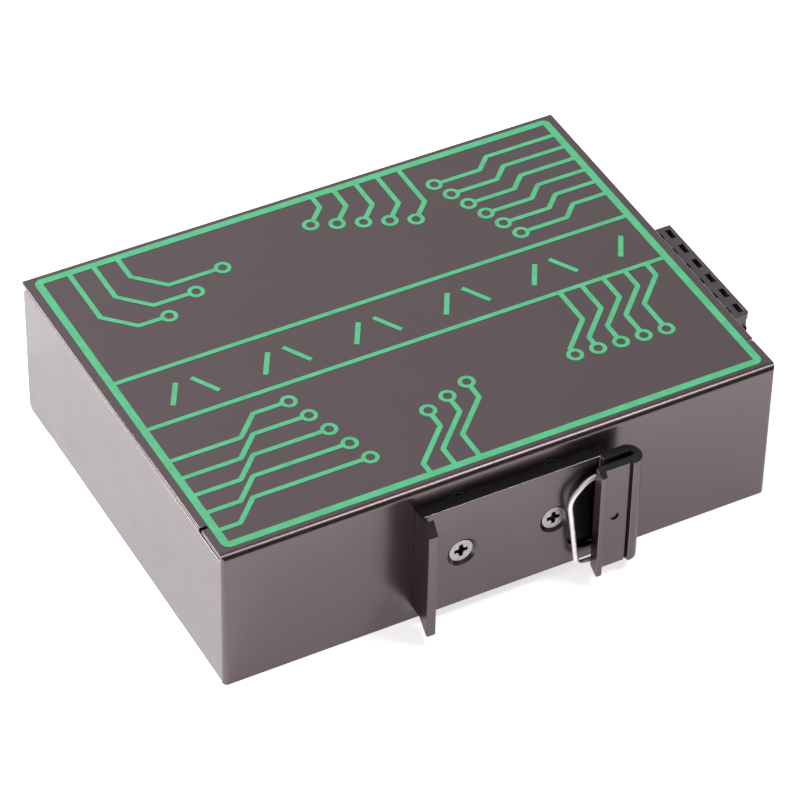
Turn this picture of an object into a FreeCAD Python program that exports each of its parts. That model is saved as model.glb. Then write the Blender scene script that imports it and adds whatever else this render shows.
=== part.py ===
"""DIN rail ethernet switch: a folded steel case that clips to a 35 mm rail. Millimetres.

The case lies on its side. X runs along its length, with the power plug at +X. The rail
clip is on the -Y side and the ports are on the +Y side. Z goes up through the thickness.
The origin is at the middle of the bottom panel.
"""
import FreeCAD, Part
import math
import os
import Sketcher

SIZES = {
    # folded case
    "case_length": 116.4,
    "case_depth": 86.5,
    "case_height": 32.2,
    "sheet": 1.0,
    "panel_lip": 0.2,
    "seam": 0.25,
    "panel_gap": 0.7,
    "wall_foot": 0.35,
    "wall_corner": 1.5,
    "bend_radius": 1.6,
    "corner_radius": 1.0,
    "relief_place": 8.7,
    "relief_width": 0.7,
    "relief_length": 1.5,
    "tab_length": 9.0,
    "tab_width": 10.0,
    "tab_place": 27.0,
    "wing_length": 9.0,
    "wing_foot": 2.5,
    # rail clip
    "clip_width": 24.7,
    "clip_bottom": 3.0,
    "clip_middle": -0.5,
    "plate_thick": 2.75,
    "jaw_left": 16.7,
    "jaw_span": 33.3,
    "catch_depth": 1.1,
    "rail_thick": 1.0,
    "rail_gap": 0.15,
    "jaw_wall": 1.9,
    "jaw_tilt": 1.4,
    "jaw_reach": 8.3,
    "rail_room": 2.3,
    "fold_step": 1.9,
    "fold_ramp": 0.6,
    "fold_wall": 2.05,
    "fold_slot": 1.25,
    "fold_return": 1.6,
    "fold_bulge": 0.55,
    "fold_flat": 0.2,
    "slot_length": 8.4,
    "slot_flat": 0.1,
    "fold_end": 1.4,
    "groove_width": 0.5,
    "groove_depth": 0.5,
    "lip_lean": 0.7,
    "lip_thick": 1.25,
    "lip_reach": 8.6,
    "tip_radius": 0.4,
    # screws and their holes
    "screw_width": 3.0,
    "head_width": 4.9,
    "head_rim": 0.15,
    "screw_sunk": 0.5,
    "hole_gap": 0.4,
    "thread_gap": 0.05,
    "cross_width": 2.8,
    "cross_arm": 0.85,
    "cross_depth": 1.0,
    "cross_point": 1.35,
    "clip_hole_span": 19.6,
    "clip_hole_height": 15.65,
    "clip_screw_length": 6.0,
    "case_screw_length": 4.6,
    "case_screw_sunk": 0.05,
    "nut_width": 6.3,
    "nut_height": 2.0,
    "nut_neck": 4.2,
    "nut_neck_height": 0.6,
    "spare_hole": 3.8,
    "spare_height": 26.3,
    # wire spring, its pocket and its pin
    "pocket_reach": 6.5,
    "pocket_depth": 1.2,
    "pocket_margin": 2.6,
    "pocket_corner": 5.0,
    "wire_width": 1.0,
    "spring_reach": 4.5,
    "spring_top": 2.8,
    "spring_foot": 0.9,
    "spring_bend": 1.6,
    "spring_bow": 4.5,
    "spring_slant": 4.0,
    "spring_lean": 2.3,
    "spring_back": 1.1,
    "pin_width": 1.8,
    "pin_place": 3.7,
    "pin_sunk": 0.35,
    # power plug and its header
    "plug_poles": 6,
    "plug_pitch": 5.08,
    "plug_middle": -4.75,
    "plug_top": 24.0,
    "plug_reach": 8.9,
    "plug_gap": 0.25,
    "well_width": 4.0,
    "well_place": 5.0,
    "slot_wide": 1.15,
    "slot_long": 2.7,
    "slot_place": 1.25,
    "slot_deep": 4.0,
    "plug_screw_slot": 0.6,
    "entry_width": 3.7,
    "entry_height": 3.7,
    "entry_floor": 3.2,
    "clamp_wall": 0.5,
    "clamp_length": 4.4,
    "plug_screw_width": 2.5,
    "plug_screw_head": 3.6,
    "end_recess": 3.2,
    "end_recess_depth": 1.0,
    "end_recess_top": 2.8,
    "end_recess_back": 1.1,
    "plug_corner_radius": 1.0,
    "header_depth": 12.0,
    "header_height": 8.6,
    "header_wall": 0.8,
    "header_floor": 2.0,
    "header_pin": 1.0,
    "header_pin_tail": 1.5,
    "header_pin_hole": 1.5,
    # board and its standoffs
    "board_side_gap": 4.0,
    "board_rear_gap": 5.0,
    "board_front_gap": 1.5,
    "board_thick": 1.6,
    "standoff_height": 5.0,
    "standoff_width": 5.5,
    "standoff_side": 15.5,
    "standoff_rear": 11.0,
    "standoff_front": 35.0,
    "board_screw_head": 5.4,
    "board_screw_rise": 1.9,
    "board_screw_length": 5.0,
    # ports
    "port_middle": -6.8,
    "port_width": 15.9,
    "port_space": 1.3,
    "port_height": 13.3,
    "port_depth": 21.0,
    "port_front": 0.3,
    "port_gap": 0.25,
    "shield_wall": 0.3,
    "socket_width": 11.9,
    "socket_height": 6.8,
    "socket_floor": 3.7,
    "socket_depth": 13.0,
    "latch_width": 6.2,
    "latch_height": 1.7,
    "contact_pitch": 1.02,
    "contact_width": 0.4,
    "contact_drop": 2.2,
    "contact_length": 8.0,
    # lamps
    "lamp_width": 3.0,
    "lamp_space": 3.0,
    "lamp_pitch": 5.0,
    "lamp_low": 4.0,
    "lamp_gap": 0.15,
    "lamp_block": 9.0,
    # electronics
    "chip_side": 14.0,
    "chip_height": 1.4,
    "chip_row": -4.0,
    "sink_side": 22.0,
    "sink_base": 2.0,
    "sink_height": 9.0,
    "fin_thick": 1.0,
    "fin_pitch": 3.0,
    "coil_length": 12.7,
    "coil_depth": 7.0,
    "coil_height": 5.7,
    "coil_gap": 1.2,
    "can_width": 8.0,
    "can_height": 10.5,
    "can_foot": 1.2,
    "can_inset": 0.15,
    "part_gap": 1.5,
    "choke_side": 10.0,
    "choke_height": 4.5,
    "choke_block": 3.3,
    "choke_post": 6.4,
    "choke_row": -12.0,
    "crystal_length": 11.4,
    "crystal_width": 4.8,
    "crystal_height": 3.6,
    "memory_length": 5.0,
    "memory_width": 6.2,
    "memory_height": 1.6,
    "regulator_length": 6.5,
    "regulator_width": 6.1,
    "regulator_height": 2.3,
    "fuse_length": 10.0,
    "fuse_width": 3.0,
    # ground screw
    "ground_width": 4.0,
    "ground_place": 24.0,
    "ground_head": 7.0,
    "ground_head_height": 2.6,
    "ground_length": 8.0,
    "ground_nut_width": 8.3,
    "ground_neck": 5.2,
    "washer_width": 9.0,
    "washer_thick": 0.8,
    # print on the side panel
    "ink_thick": 0.06,
    "border_side": 1.7,
    "border_rear": 2.0,
    "border_front": 1.1,
    "border_line": 1.5,
    "border_corner": 1.6,
    "ink_line": 1.0,
    "ink_overlap": 0.2,
    "band_middle": 1.0,
    "band_width": 14.4,
    "pad_ring": 3.4,
    "pad_line": 0.8,
    "trace_step": 3.2,
    "mark_lean": 30.0,
    "mark_pitch": 9.6,
    "mark_length": 6.4,
}

SKETCH_START = 10.0
PORTS = 5
CONTACTS = 8
LAMP_COLUMNS = 2
LAMP_LINES = 3
CANS = 3
CHOKES = 2
REGULATORS = 2
MARK_PAIRS = 5

doc = FreeCAD.newDocument("ethernet_switch")
sheet = doc.addObject("Spreadsheet::Sheet", "sizes")
for row, (alias, number) in enumerate(SIZES.items(), start=1):
    sheet.set(f"A{row}", alias)
    sheet.set(f"B{row}", str(number))
    sheet.setAlias(f"B{row}", alias)
doc.recompute()

pieces = []


def size(alias):
    """Value of one cell of the sheet."""
    return float(sheet.get(alias))


def rule(text):
    """Expression in which each word is a cell of the sheet."""
    words = []
    for word in str(text).replace("(", " ( ").replace(")", " ) ").split():
        words.append("sizes." + word if word[0].isalpha() else word)
    return " ".join(words)


def keep(item, label):
    """Mark an object as a finished piece under its own name."""
    item.Label = label
    pieces.append(item)
    return item


# ---- Part primitives and booleans

TURNS = {
    "+x": FreeCAD.Rotation(FreeCAD.Vector(0, 1, 0), 90),
    "-x": FreeCAD.Rotation(FreeCAD.Vector(0, 1, 0), -90),
    "+y": FreeCAD.Rotation(FreeCAD.Vector(1, 0, 0), -90),
    "-y": FreeCAD.Rotation(FreeCAD.Vector(1, 0, 0), 90),
    "+z": FreeCAD.Rotation(),
    "-z": FreeCAD.Rotation(FreeCAD.Vector(1, 0, 0), 180),
}


def put(item, place, turn="+z"):
    """Move an object to a place given by three expressions, its own Z turned to an axis."""
    item.Placement = FreeCAD.Placement(FreeCAD.Vector(), TURNS[turn])
    for axis, text in zip("xyz", place):
        item.setExpression(f"Placement.Base.{axis}", rule(text))
    return item


def primitive(kind, name, place, measures, turn="+z"):
    item = put(doc.addObject(kind, name), place, turn)
    for key, text in measures.items():
        item.setExpression(key, rule(text))
    return item


def box(name, corner, lengths):
    return primitive("Part::Box", name, corner, dict(zip(("Length", "Width", "Height"), lengths)))


def cylinder(name, base, width, height, turn="+z"):
    return primitive("Part::Cylinder", name, base, {"Radius": f"( {width} ) / 2", "Height": height}, turn)


def cone(name, base, low, high, height, turn="+z"):
    measures = {"Radius1": f"( {low} ) / 2", "Radius2": f"( {high} ) / 2", "Height": height}
    return primitive("Part::Cone", name, base, measures, turn)


def fuse(name, items):
    joined = doc.addObject("Part::MultiFuse", name)
    joined.Shapes = items
    joined.Refine = True
    return joined


def cut(name, base, tools):
    result = doc.addObject("Part::Cut", name)
    result.Base = base
    result.Tool = tools[0] if len(tools) == 1 else fuse(f"{name}_tools", tools)
    result.Refine = True
    return result


def group(name, items):
    """Separate solids that share one node."""
    gathered = doc.addObject("Part::Compound", name)
    gathered.Links = items
    return gathered


# ---- PartDesign sketches and features

def new_body(name):
    return doc.addObject("PartDesign::Body", name)


def sketch_on(body, name, role, lift="0"):
    """Sketch on one of the body's own planes, lifted along the plane's normal."""
    planes = [item for item in body.Origin.OriginFeatures if item.Role == role]
    sketch = body.newObject("Sketcher::SketchObject", name)
    sketch.AttachmentSupport = (planes[0], [""])
    sketch.MapMode = "FlatFace"
    sketch.setExpression("AttachmentOffset.Base.z", rule(lift))
    return sketch


def tie(sketch, geometry, point, place):
    """Tie one point of a sketch to two expressions measured from the origin."""
    for kind, text in zip(("DistanceX", "DistanceY"), place):
        number = sketch.addConstraint(Sketcher.Constraint(kind, -1, 1, geometry, point, 1.0))
        sketch.setExpression(f"Constraints[{number}]", rule(text))


def add_outline(sketch, corners):
    """Closed outline through corners whose coordinates are expressions."""
    first = sketch.GeometryCount
    count = len(corners)
    ring = []
    for index in range(count):
        angle = 2 * math.pi * index / count
        ring.append(FreeCAD.Vector(math.cos(angle), math.sin(angle), 0) * SKETCH_START)
    for index in range(count):
        sketch.addGeometry(Part.LineSegment(ring[index], ring[(index + 1) % count]), False)
    for index in range(count):
        following = first + (index + 1) % count
        sketch.addConstraint(Sketcher.Constraint("Coincident", first + index, 2, following, 1))
    for index, corner in enumerate(corners):
        tie(sketch, first + index, 1, corner)


def add_rectangle(sketch, low, high):
    add_outline(sketch, [low, (high[0], low[1]), high, (low[0], high[1])])


def pad(body, name, sketch, length):
    """Pad along the normal of the sketch."""
    item = body.newObject("PartDesign::Pad", name)
    item.Profile = sketch
    item.setExpression("Length", rule(length))
    item.Refine = True
    return item


def straight_edges(shape, direction, places):
    """Names of the straight edges along an axis that pass through given places."""
    across = {"x": (1, 2), "y": (0, 2), "z": (0, 1)}[direction]
    near = 0.02
    names = []
    for number, edge in enumerate(shape.Edges, start=1):
        ends = [vertex.Point for vertex in edge.Vertexes]
        if edge.Curve.TypeId != "Part::GeomLine":
            continue
        if any(abs(ends[0][axis] - ends[1][axis]) > near for axis in across):
            continue
        gaps = [math.hypot(ends[0][across[0]] - u, ends[0][across[1]] - v) for u, v in places]
        if min(gaps) < near:
            names.append(f"Edge{number}")
    return names


def round_edges(body, name, direction, places, radius):
    """Fillet the straight edges of the body's tip that pass through given places."""
    doc.recompute()
    tip = body.Tip
    fillet = body.newObject("PartDesign::Fillet", name)
    fillet.Base = (tip, straight_edges(tip.Shape, direction, places))
    fillet.setExpression("Radius", rule(radius))
    return fillet


# ---- places that several pieces share

# the case: outside and inside of its end walls, the base's end, two long walls, the board's top
WALL_X = "( case_length / 2 - panel_lip )"
ROOM_X = "( case_length / 2 - panel_lip - sheet )"
BASE_X = "( case_length / 2 - panel_lip - sheet - seam )"
REAR_Y = "( - case_depth / 2 )"
FRONT_Y = "( case_depth / 2 )"
BOARD_Z = "( sheet + standoff_height + board_thick )"

# the clip: hook of the fixed jaw, face of the lip, slot, back of the fold, middle height
JAW_X = "( clip_middle - jaw_left )"
LIP_X = "( clip_middle - jaw_left + jaw_span )"
SLOT_LOW = "( fold_step + fold_wall )"
SLOT_HIGH = "( fold_step + fold_wall + fold_slot )"
FOLD_FACE = "( fold_step + fold_wall + fold_slot + fold_return )"
FOLD_CROWN = "( fold_step + fold_wall + fold_slot + fold_return + fold_bulge )"
GROOVE_X = f"( {LIP_X} + slot_length - fold_wall )"
CLIP_Z = "( clip_bottom + clip_width / 2 )"
PIN_LENGTH = "( fold_return + fold_slot + fold_wall / 2 )"

# countersunk head: depth of its cone, and the width of a sink that leaves it sunk
HEAD_CONE = "( ( head_width - screw_width ) / 2 )"
CLIP_SINK = "( head_width + 2 * ( screw_sunk + head_rim ) + 2 * thread_gap )"
CASE_SINK = "( head_width + 2 * ( case_screw_sunk + head_rim ) + 2 * thread_gap )"
NUT_BORE = "( screw_width + 2 * thread_gap )"

# the plug: its length along the poles, its ends, the header's mouth and pins
POLES_LONG = "( plug_poles * plug_pitch )"
HEADER_LONG = "( plug_poles * plug_pitch + 2 * header_wall )"
POLES_START = "( plug_middle - plug_poles * plug_pitch / 2 )"
MOUTH_X = "( case_length / 2 + plug_gap )"
PLUG_X = "( case_length / 2 + plug_reach )"
PIN_X = "( case_length / 2 + plug_gap - header_depth + header_floor / 2 )"
PIN_Z = f"( {BOARD_Z} + header_height / 2 )"
ENTRY_DEPTH = "( plug_reach - plug_gap - clamp_wall )"

# the board: its standoffs, the row behind the ports and the faces of the ports
STAND_X = f"( {ROOM_X} - standoff_side )"
STAND_REAR = f"( {REAR_Y} + sheet + standoff_rear )"
STAND_FRONT = f"( {FRONT_Y} - sheet - standoff_front )"
PORT_FACE = f"( {FRONT_Y} + port_front )"
PORT_BACK = f"( {FRONT_Y} + port_front - port_depth )"


def port_x(index):
    """Middle of one port along the case."""
    return f"( port_middle + ( {index} - {(PORTS - 1) / 2} ) * ( port_width + port_space ) )"


def lamp_x(column):
    """Middle of one column of lamps, past the last port."""
    return f"( {port_x(PORTS - 1)} + port_width / 2 + lamp_space + ( {column} + 0.5 ) * lamp_pitch )"


def pole_y(index):
    """Middle of one pole of the power plug."""
    return f"( plug_middle + ( {index} - ( plug_poles - 1 ) / 2 ) * plug_pitch )"


def case_screw_places():
    places = []
    for side_x in ("-", "+"):
        for side_y in ("-", "+"):
            places.append((f"{side_x} ( {ROOM_X} - tab_length / 2 )", f"{side_y} tab_place"))
    return places


def clip_screw_places():
    return [f"clip_middle {side} clip_hole_span / 2" for side in ("-", "+")]


def standoff_places():
    places = []
    for side in ("-", "+"):
        places.append((f"{side} {STAND_X}", STAND_REAR))
        places.append((f"{side} {STAND_X}", STAND_FRONT))
    return places


def lamp_places():
    places = []
    for column in range(LAMP_COLUMNS):
        for line in range(LAMP_LINES):
            places.append((lamp_x(column), f"{BOARD_Z} + lamp_low + {line} * lamp_pitch"))
    return places


# ---- folded case

def folded_sheet(name, profile, end_x):
    """Side panel and long wall joined by a bend, from one end to the other."""
    body = new_body(f"{name}_body")
    section = sketch_on(body, f"{name}_section", "YZ_Plane", f"- {end_x}")
    add_outline(section, profile)
    pad(body, f"{name}_fold", section, f"2 * {end_x}")
    return body


def corner_tools():
    """Tools that round both upright corners between the rail side and the end walls."""
    tools = []
    lengths = ("corner_radius", "corner_radius", "case_height")
    for side, block_x, post_x in (
        ("left", f"- {WALL_X}", f"- {WALL_X} + corner_radius"),
        ("right", f"{WALL_X} - corner_radius", f"{WALL_X} - corner_radius"),
    ):
        block = box(f"{side}_corner_block", (block_x, REAR_Y, "0"), lengths)
        centre = (post_x, f"{REAR_Y} + corner_radius", "0")
        post = cylinder(f"{side}_corner_post", centre, "2 * corner_radius", "case_height")
        tools.append(cut(f"{side}_corner_tool", block, [post]))
    return tools


def relief_tools():
    """Notches in both edges of the printed panel where its overhang ends."""
    tools = []
    for side, start in (("left", "- case_length / 2"), ("right", "case_length / 2 - relief_length")):
        corner = (start, f"{REAR_Y} + relief_place - relief_width / 2", "case_height - sheet")
        tools.append(box(f"relief_{side}", corner, ("relief_length", "relief_width", "sheet")))
    return tools


def add_end_walls(body):
    """Both end walls, which cover the base's edges and stop short of the printed panel."""
    top = "case_height - sheet - panel_gap"
    outline = [
        (REAR_Y, "wall_foot"),
        (f"{FRONT_Y} - relief_place", "wall_foot"),
        (f"{FRONT_Y} - relief_place", "0"),
        (FRONT_Y, "0"),
        (FRONT_Y, top),
        (REAR_Y, top),
    ]
    for side, start in (("left", f"- {WALL_X}"), ("right", ROOM_X)):
        wall = sketch_on(body, f"{side}_wall_outline", "YZ_Plane", start)
        add_outline(wall, outline)
        pad(body, f"{side}_wall", wall, "sheet")
    front = size("case_depth") / 2
    high = size("case_height") - size("sheet") - size("panel_gap")
    round_edges(body, "wall_low_corners", "x", [(front, 0)], "bend_radius")
    round_edges(body, "wall_high_corners", "x", [(front, high)], "wall_corner")


def make_cover():
    """Printed side panel, rail side and both end walls, folded from one sheet."""
    body = folded_sheet(
        "cover",
        [
            (REAR_Y, "0"),
            (f"{REAR_Y} + sheet", "0"),
            (f"{REAR_Y} + sheet", "case_height - sheet"),
            (FRONT_Y, "case_height - sheet"),
            (FRONT_Y, "case_height"),
            (REAR_Y, "case_height"),
        ],
        WALL_X,
    )
    overhang = sketch_on(body, "overhang_outline", "XY_Plane", "case_height - sheet")
    add_rectangle(overhang, ("- case_length / 2", f"{REAR_Y} + relief_place"), ("case_length / 2", FRONT_Y))
    pad(body, "overhang", overhang, "sheet")
    rear = - size("case_depth") / 2
    thick = size("sheet")
    high = size("case_height")
    round_edges(body, "cover_bend_inside", "x", [(rear + thick, high - thick)], "bend_radius - sheet")
    round_edges(body, "cover_bend_outside", "x", [(rear, high)], "bend_radius")
    add_end_walls(body)
    tabs = sketch_on(body, "tabs_outline", "XY_Plane", "sheet")
    for side in ("-", "+"):
        low, high_y = f"{side} tab_place - tab_width / 2", f"{side} tab_place + tab_width / 2"
        add_rectangle(tabs, (f"- {WALL_X}", low), (f"- {ROOM_X} + tab_length", high_y))
        add_rectangle(tabs, (f"{ROOM_X} - tab_length", low), (WALL_X, high_y))
    pad(body, "tabs", tabs, "sheet")
    tools = corner_tools() + relief_tools()
    for index, x in enumerate(clip_screw_places()):
        place = (x, REAR_Y, "clip_hole_height")
        tools.append(cylinder(f"clip_nut_hole_{index}", place, "nut_neck", "sheet", "+y"))
        spare = (x, REAR_Y, "spare_height")
        tools.append(cylinder(f"spare_hole_{index}", spare, "spare_hole", "sheet", "+y"))
    for index, (x, y) in enumerate(case_screw_places()):
        tools.append(cylinder(f"tab_hole_{index}", (x, y, "sheet"), "nut_neck", "sheet"))
    corner = (ROOM_X, f"plug_middle - {HEADER_LONG} / 2 - plug_gap", f"{BOARD_Z} - plug_gap")
    lengths = ("sheet", f"{HEADER_LONG} + 2 * plug_gap", "header_height + 2 * plug_gap")
    tools.append(box("plug_window", corner, lengths))
    ground = (ROOM_X, "ground_place", "case_height / 2")
    tools.append(cylinder("ground_hole", ground, "ground_neck", "sheet", "+x"))
    keep(cut("cover_cut", body, tools), "cover_shell")


def make_base():
    """Plain side panel and port side, folded from one sheet, with a wing inside each end."""
    body = folded_sheet(
        "base",
        [
            (f"{REAR_Y} + sheet + seam", "0"),
            (FRONT_Y, "0"),
            (FRONT_Y, "case_height - sheet - seam"),
            (f"{FRONT_Y} - sheet", "case_height - sheet - seam"),
            (f"{FRONT_Y} - sheet", "sheet"),
            (f"{REAR_Y} + sheet + seam", "sheet"),
        ],
        BASE_X,
    )
    front = size("case_depth") / 2
    thick = size("sheet")
    round_edges(body, "base_bend_inside", "x", [(front - thick, thick)], "bend_radius - sheet")
    round_edges(body, "base_bend_outside", "x", [(front, 0)], "bend_radius")
    wings = sketch_on(body, "wings_outline", "XY_Plane", "sheet + wing_foot")
    back = f"{FRONT_Y} - sheet - wing_length"
    add_rectangle(wings, (f"- {BASE_X}", back), (f"- {BASE_X} + sheet", f"{FRONT_Y} - sheet / 2"))
    add_rectangle(wings, (f"{BASE_X} - sheet", back), (BASE_X, f"{FRONT_Y} - sheet / 2"))
    pad(body, "wings", wings, "case_height - 2 * sheet - 2 * wing_foot")
    tools = []
    for index in range(PORTS):
        low = (f"{port_x(index)} - port_width / 2 - port_gap", f"{FRONT_Y} - sheet", f"{BOARD_Z} - port_gap")
        lengths = ("port_width + 2 * port_gap", "sheet", "port_height + 2 * port_gap")
        tools.append(box(f"port_window_{index}", low, lengths))
    for index, (x, z) in enumerate(lamp_places()):
        place = (x, f"{FRONT_Y} - sheet", z)
        tools.append(cylinder(f"lamp_hole_{index}", place, "lamp_width + 2 * lamp_gap", "sheet", "+y"))
    for index, (x, y) in enumerate(case_screw_places()):
        tools.append(cone(f"case_sink_{index}", (x, y, "0"), CASE_SINK, f"{CASE_SINK} - 2 * sheet", "sheet"))
    for index, (x, y) in enumerate(standoff_places()):
        tools.append(cylinder(f"standoff_hole_{index}", (x, y, "0"), "nut_neck", "sheet"))
    keep(cut("base_cut", body, tools), "base_shell")


# ---- screws, nuts and standoffs

def countersunk_screw(name, length):
    """Cross-recessed countersunk screw along its own Z, head up with its top at zero."""
    head_top = cylinder(f"{name}_rim", ("0", "0", "- head_rim"), "head_width", "head_rim")
    head = cone(f"{name}_head", ("0", "0", f"- head_rim - {HEAD_CONE}"), "screw_width", "head_width", HEAD_CONE)
    shank = cylinder(f"{name}_shank", ("0", "0", f"- {length}"), "screw_width", f"{length} - head_rim")
    solid = fuse(f"{name}_solid", [head_top, head, shank])
    return cut(name, solid, cross_recess(name, "0"))


def cross_recess(name, top):
    """Tools for a cross recess: two arms and the deeper point between them."""
    long_low = ("- cross_width / 2", "- cross_arm / 2", f"{top} - cross_depth")
    wide_low = ("- cross_arm / 2", "- cross_width / 2", f"{top} - cross_depth")
    point = ("0", "0", f"{top} - cross_point")
    return [
        box(f"{name}_arm_x", long_low, ("cross_width", "cross_arm", "cross_depth")),
        box(f"{name}_arm_y", wide_low, ("cross_arm", "cross_width", "cross_depth")),
        cone(f"{name}_point", point, "cross_arm / 2", "2 * cross_arm", "cross_point"),
    ]


def pan_screw(name, width, head, rise, length):
    """Cross-recessed pan head screw along its own Z, seated at zero, its head's top drawn in."""
    neck = cylinder(f"{name}_shank", ("0", "0", f"- {length}"), width, length)
    rim = cylinder(f"{name}_rim", ("0", "0", "0"), head, f"{rise} / 2")
    crown = cone(f"{name}_crown", ("0", "0", f"{rise} / 2"), head, f"{head} - {rise}", f"{rise} / 2")
    solid = fuse(f"{name}_solid", [neck, rim, crown])
    return cut(name, solid, cross_recess(name, rise))


def clinch_nut(name, width, neck, bore):
    """Pressed-in nut along its own Z, seated at zero with its neck below."""
    flange = cylinder(f"{name}_flange", ("0", "0", "0"), width, "nut_height")
    collar = cylinder(f"{name}_collar", ("0", "0", "- nut_neck_height"), neck, "nut_neck_height")
    hole = cylinder(f"{name}_bore", ("0", "0", "- nut_neck_height"), bore, "nut_height + nut_neck_height")
    return cut(name, fuse(f"{name}_solid", [flange, collar]), [hole])


def make_case_fasteners():
    screws = []
    nuts = []
    for index, (x, y) in enumerate(case_screw_places()):
        screw = countersunk_screw(f"case_screw_{index}", "case_screw_length")
        screws.append(put(screw, (x, y, "case_screw_sunk"), "-z"))
        nut = clinch_nut(f"case_nut_{index}", "nut_width", "nut_neck", NUT_BORE)
        nuts.append(put(nut, (x, y, "2 * sheet")))
    keep(group("case_screw_set", screws), "case_screws")
    keep(group("case_nut_set", nuts), "case_nuts")


def make_clip_fasteners():
    head_y = f"{REAR_Y} - plate_thick + screw_sunk"
    screws = []
    nuts = []
    for index, x in enumerate(clip_screw_places()):
        screw = countersunk_screw(f"clip_screw_{index}", "clip_screw_length")
        screws.append(put(screw, (x, head_y, "clip_hole_height"), "-y"))
        nut = clinch_nut(f"clip_nut_{index}", "nut_width", "nut_neck", NUT_BORE)
        nuts.append(put(nut, (x, f"{REAR_Y} + sheet", "clip_hole_height"), "+y"))
    keep(group("clip_screw_set", screws), "clip_screws")
    keep(group("clip_nut_set", nuts), "clip_nuts")


def make_standoffs():
    """Pressed-in hexagonal standoffs and the screws that hold the board on them."""
    flat_to_corner = 2 * math.cos(math.pi / 6)
    posts = []
    screws = []
    for index, (x, y) in enumerate(standoff_places()):
        name = f"standoff_{index}"
        post = doc.addObject("Part::Prism", f"{name}_hexagon")
        post.Polygon = 6
        post.setExpression("Circumradius", rule(f"standoff_width / {flat_to_corner:.6f}"))
        post.setExpression("Height", rule("standoff_height"))
        neck = cylinder(f"{name}_neck", ("0", "0", "- sheet + case_screw_sunk"), "nut_neck", "sheet")
        bore = cylinder(f"{name}_bore", ("0", "0", "0"), NUT_BORE, "standoff_height")
        solid = cut(name, fuse(f"{name}_solid", [post, neck]), [bore])
        posts.append(put(solid, (x, y, "sheet")))
        screw = pan_screw(
            f"board_screw_{index}", "screw_width", "board_screw_head", "board_screw_rise", "board_screw_length"
        )
        screws.append(put(screw, (x, y, BOARD_Z)))
    keep(group("standoff_set", posts), "standoffs")
    keep(group("board_screw_set", screws), "board_screws")


# ---- rail clip

def make_clip():
    """Extruded clip: a fixed jaw, a plate and a fold-back jaw whose slot holds the spring."""
    body = new_body("clip_body")
    profile = sketch_on(body, "clip_section", "XY_Plane", "clip_bottom")
    hook_out = "plate_thick + rail_thick + rail_gap"
    fold_end_x = f"{LIP_X} + slot_length + fold_end"
    outline = [
        # fixed jaw and its hook
        (f"{JAW_X} - jaw_wall", "0"),
        (f"{JAW_X} - jaw_wall", "plate_thick"),
        (f"{JAW_X} - jaw_wall - jaw_tilt", "jaw_reach"),
        (f"{JAW_X} - jaw_tilt", "jaw_reach"),
        (JAW_X, hook_out),
        (f"{JAW_X} - catch_depth", hook_out),
        (f"{JAW_X} - catch_depth", "plate_thick"),
        # plate, slot and lip
        (f"{LIP_X} + rail_room", "plate_thick"),
        (f"{LIP_X} + rail_room", SLOT_LOW),
        (f"{LIP_X} + slot_length", SLOT_LOW),
        (f"{LIP_X} + slot_length", SLOT_HIGH),
        (LIP_X, SLOT_HIGH),
        (f"{LIP_X} - lip_lean", "lip_reach"),
        (f"{LIP_X} - lip_lean + lip_thick", "lip_reach"),
        # face of the fold, with its groove and crown
        (f"{LIP_X} + lip_thick", FOLD_FACE),
        (GROOVE_X, FOLD_FACE),
        (GROOVE_X, f"{FOLD_FACE} - groove_depth"),
        (f"{GROOVE_X} + groove_width", f"{FOLD_FACE} - groove_depth"),
        (f"{GROOVE_X} + groove_width", FOLD_CROWN),
        (fold_end_x, FOLD_CROWN),
        (fold_end_x, "fold_step"),
        # back of the fold, which ramps down to the plate
        (f"{LIP_X} + rail_room + fold_wall", "fold_step"),
        (f"{LIP_X} + rail_room + fold_wall - fold_ramp", "0"),
    ]
    add_outline(profile, [(x, f"{REAR_Y} - ( {out} )") for x, out in outline])
    pad(body, "clip_extrusion", profile, "clip_width")
    rear = - size("case_depth") / 2
    jaw = size("clip_middle") - size("jaw_left")
    lip = jaw + size("jaw_span")
    slot_low = size("fold_step") + size("fold_wall")
    slot_high = slot_low + size("fold_slot")
    crown = slot_high + size("fold_return") + size("fold_bulge")
    fold_x = lip + size("slot_length") + size("fold_end")
    fold_edges = [(fold_x, rear - crown), (fold_x, rear - size("fold_step"))]
    round_edges(body, "clip_fold_outside", "z", fold_edges, f"( {FOLD_CROWN} - fold_step - fold_flat ) / 2")
    slot_x = lip + size("slot_length")
    slot_edges = [(slot_x, rear - slot_low), (slot_x, rear - slot_high)]
    round_edges(body, "clip_slot_end", "z", slot_edges, "( fold_slot - slot_flat ) / 2")
    jaw_tip = jaw - size("jaw_tilt")
    tip_edges = [
        (jaw_tip, rear - size("jaw_reach")),
        (jaw_tip - size("jaw_wall"), rear - size("jaw_reach")),
        (lip - size("lip_lean") + size("lip_thick"), rear - size("lip_reach")),
    ]
    round_edges(body, "clip_tips", "z", tip_edges, "tip_radius")
    tools = []
    hole = "( screw_width + hole_gap )"
    for index, x in enumerate(clip_screw_places()):
        face = (x, f"{REAR_Y} - plate_thick", "clip_hole_height")
        tools.append(cone(f"clip_sink_{index}", face, CLIP_SINK, hole, f"( {CLIP_SINK} - {hole} ) / 2", "+y"))
        tools.append(cylinder(f"clip_hole_{index}", face, hole, "plate_thick", "+y"))
    tools += spring_pocket()
    pin = (f"{LIP_X} + pin_place", f"{REAR_Y} - {FOLD_FACE}", CLIP_Z)
    tools.append(cylinder("spring_pin_hole", pin, "pin_width", PIN_LENGTH, "+y"))
    keep(cut("clip_cut", body, tools), "rail_clip")


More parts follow.
